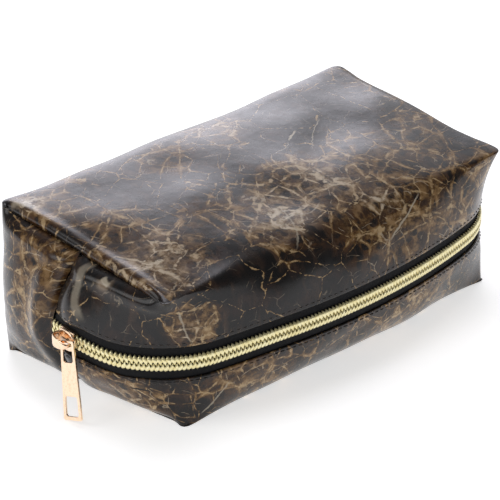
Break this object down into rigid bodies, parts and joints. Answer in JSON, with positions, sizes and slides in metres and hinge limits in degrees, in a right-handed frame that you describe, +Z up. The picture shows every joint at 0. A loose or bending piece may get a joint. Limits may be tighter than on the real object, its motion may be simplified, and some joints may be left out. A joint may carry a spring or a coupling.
{
  "type": "cosmetic pouch",
  "caption": "Soft boxed cosmetic pouch in glossy marbled coated sheet, with a coil zip round the front, a slider that runs round the corner and a hanging pull tab.",
  "frame": {"origin": "middle of the resting face, halfway between the end seams and between the front and rear walls", "axes": "+X along the length, away from the slider's end; +Y from the zip to the rear wall; +Z up"},
  "size_m": [0.2398, 0.1346, 0.071],
  "materials": {
    "outer_sheet": "glossy coated sheet with a dark brown marble print",
    "interlining": "matt non-woven felt",
    "lining": "black woven lining",
    "zip_tape": "black woven zip tape",
    "zip_coil": "pale gold plated coil",
    "thread": "dark brown sewing thread",
    "binding": "black woven binding tape",
    "slider_metal": "polished rose gold plate",
    "spring_steel": "spring steel"
  },
  "bodies": {
    "pouch": {"outer_body": "outer_sheet", "interlining_body": "interlining", "lining_body": "lining", "zip_tape_lower": "zip_tape", "zip_coil_lower": "zip_coil", "zip_tape_upper_left_end": "zip_tape", "zip_tape_upper_right_end": "zip_tape", "zip_coil_upper_left_end": "zip_coil", "zip_coil_upper_right_end": "zip_coil", "topstitch_lower": "thread", "end_seam_binding_left": "binding", "end_seam_binding_right": "binding", "boxed_binding_lower_left": "binding", "boxed_binding_lower_right": "binding", "boxed_binding_rear_left": "binding", "boxed_binding_rear_right": "binding"},
    "flap": {"outer_flap": "outer_sheet", "interlining_flap": "interlining", "lining_flap": "lining", "zip_tape_upper": "zip_tape", "zip_coil_upper": "zip_coil", "topstitch_upper": "thread", "boxed_binding_flap_left": "binding", "boxed_binding_flap_right": "binding"},
    "slider": {"slider_body": "slider_metal", "slider_bridge": "slider_metal", "slider_lock_spring": "spring_steel"},
    "pull": {"pull_tab": "slider_metal"}
  },
  "joints": [
    {"name": "mouth_open", "type": "hinge", "parent": "pouch", "child": "flap", "pos_m": [0, 0, 0.071], "axis": [-1, 0, 0], "range_deg": [0, 45]},
    {"name": "slider_travel", "type": "hinge", "parent": "pouch", "child": "slider", "pos_m": [-0.064, -0.009, 0.0325], "axis": [0, 0, 1], "range_deg": [0, 68]},
    {"name": "tab_swing", "type": "hinge", "parent": "slider", "child": "pull", "pos_m": [-0.11835, -0.01016, 0.0325], "axis": [-0.9984, 0.056, 0], "range_deg": [-30, 85]}
  ]
}
